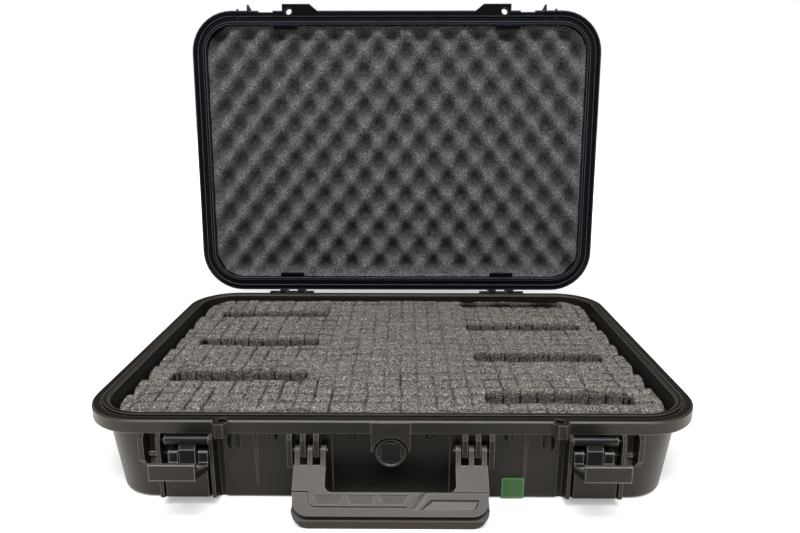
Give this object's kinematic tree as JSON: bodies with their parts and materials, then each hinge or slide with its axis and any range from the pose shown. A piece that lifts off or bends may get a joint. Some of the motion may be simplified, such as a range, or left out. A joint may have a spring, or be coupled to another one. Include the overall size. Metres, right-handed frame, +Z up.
{
  "type": "hard case with hinged lid",
  "caption": "Shallow hard case with a hinged lid, foam lining with slotted beds, two front latches, a folding handle and a pressure valve.",
  "frame": {"origin": "centre of the base outline, on the surface that the case stands on", "axes": "+X to the right of the front, +Y to the hinge side, +Z up"},
  "size_m": [0.502, 0.4663, 0.4285],
  "materials": {
    "shell_plastic": "fine moulded texture",
    "lid_plastic": "satin black moulding",
    "handle_plastic": "fine moulded texture",
    "grip_plastic": "fine moulded texture",
    "latch_plastic": "satin moulding",
    "base_foam": "open-cell foam, scored in a grid",
    "lid_foam": "convoluted open-cell foam",
    "steel": "ground",
    "valve_plastic": "satin moulding",
    "seal_rubber": "smooth",
    "clip_plastic": "satin moulding",
    "label_film": "printed film, plain"
  },
  "bodies": {
    "base": {"base_shell": "shell_plastic", "base_foam": "base_foam", "base_pad": "base_foam", "valve_body": "valve_plastic", "valve_seal": "seal_rubber", "valve_nut": "valve_plastic", "info_label": "label_film", "latch_pin_left": "steel", "latch_pin_right": "steel", "catch_pin_left": "steel", "catch_pin_right": "steel", "latch_spring_left": "steel", "latch_spring_right": "steel", "handle_pin_left": "steel", "handle_pin_right": "steel", "hinge_pin_left": "steel", "hinge_pin_right": "steel"},
    "lid": {"lid_shell": "lid_plastic", "lid_gasket": "seal_rubber", "lid_foam": "lid_foam", "foam_clip_front_left": "clip_plastic", "foam_clip_front_right": "clip_plastic", "foam_clip_back_left": "clip_plastic", "foam_clip_back_right": "clip_plastic"},
    "lever_left": {"latch_lever_left": "latch_plastic"},
    "lever_right": {"latch_lever_right": "latch_plastic"},
    "catch_left": {"latch_catch_left": "latch_plastic"},
    "catch_right": {"latch_catch_right": "latch_plastic"},
    "handle": {"handle_frame": "handle_plastic", "handle_grip": "grip_plastic"},
    "valve_knob": {"valve_cap": "valve_plastic"}
  },
  "joints": [
    {"name": "lid_hinge", "type": "hinge", "parent": "base", "child": "lid", "pos_m": [0, 0.1791, 0.0695], "axis": [1, 0, 0], "range_deg": [0, 94]},
    {"name": "handle_pivot", "type": "hinge", "parent": "base", "child": "handle", "pos_m": [0, -0.171, 0.0475], "axis": [-1, 0, 0], "range_deg": [-27, 50]},
    {"name": "latch_left", "type": "hinge", "parent": "base", "child": "lever_left", "pos_m": [-0.1597, -0.1705, 0.0445], "axis": [-1, 0, 0], "range_deg": [0, 73], "stiffness_Nm_per_rad": 0.02},
    {"name": "catch_left", "type": "hinge", "parent": "base", "child": "catch_left", "pos_m": [-0.1597, -0.172, 0.057], "axis": [-1, 0, 0], "range_deg": [0, 6]},
    {"name": "latch_right", "type": "hinge", "parent": "base", "child": "lever_right", "pos_m": [0.1597, -0.1705, 0.0445], "axis": [-1, 0, 0], "range_deg": [0, 73], "stiffness_Nm_per_rad": 0.02},
    {"name": "catch_right", "type": "hinge", "parent": "base", "child": "catch_right", "pos_m": [0.1597, -0.172, 0.057], "axis": [-1, 0, 0], "range_deg": [0, 6]},
    {"name": "valve_turn", "type": "hinge", "parent": "base", "child": "valve_knob", "pos_m": [0, -0.17, 0.046], "axis": [0, -1, 0], "range_deg": [0, 180]}
  ]
}
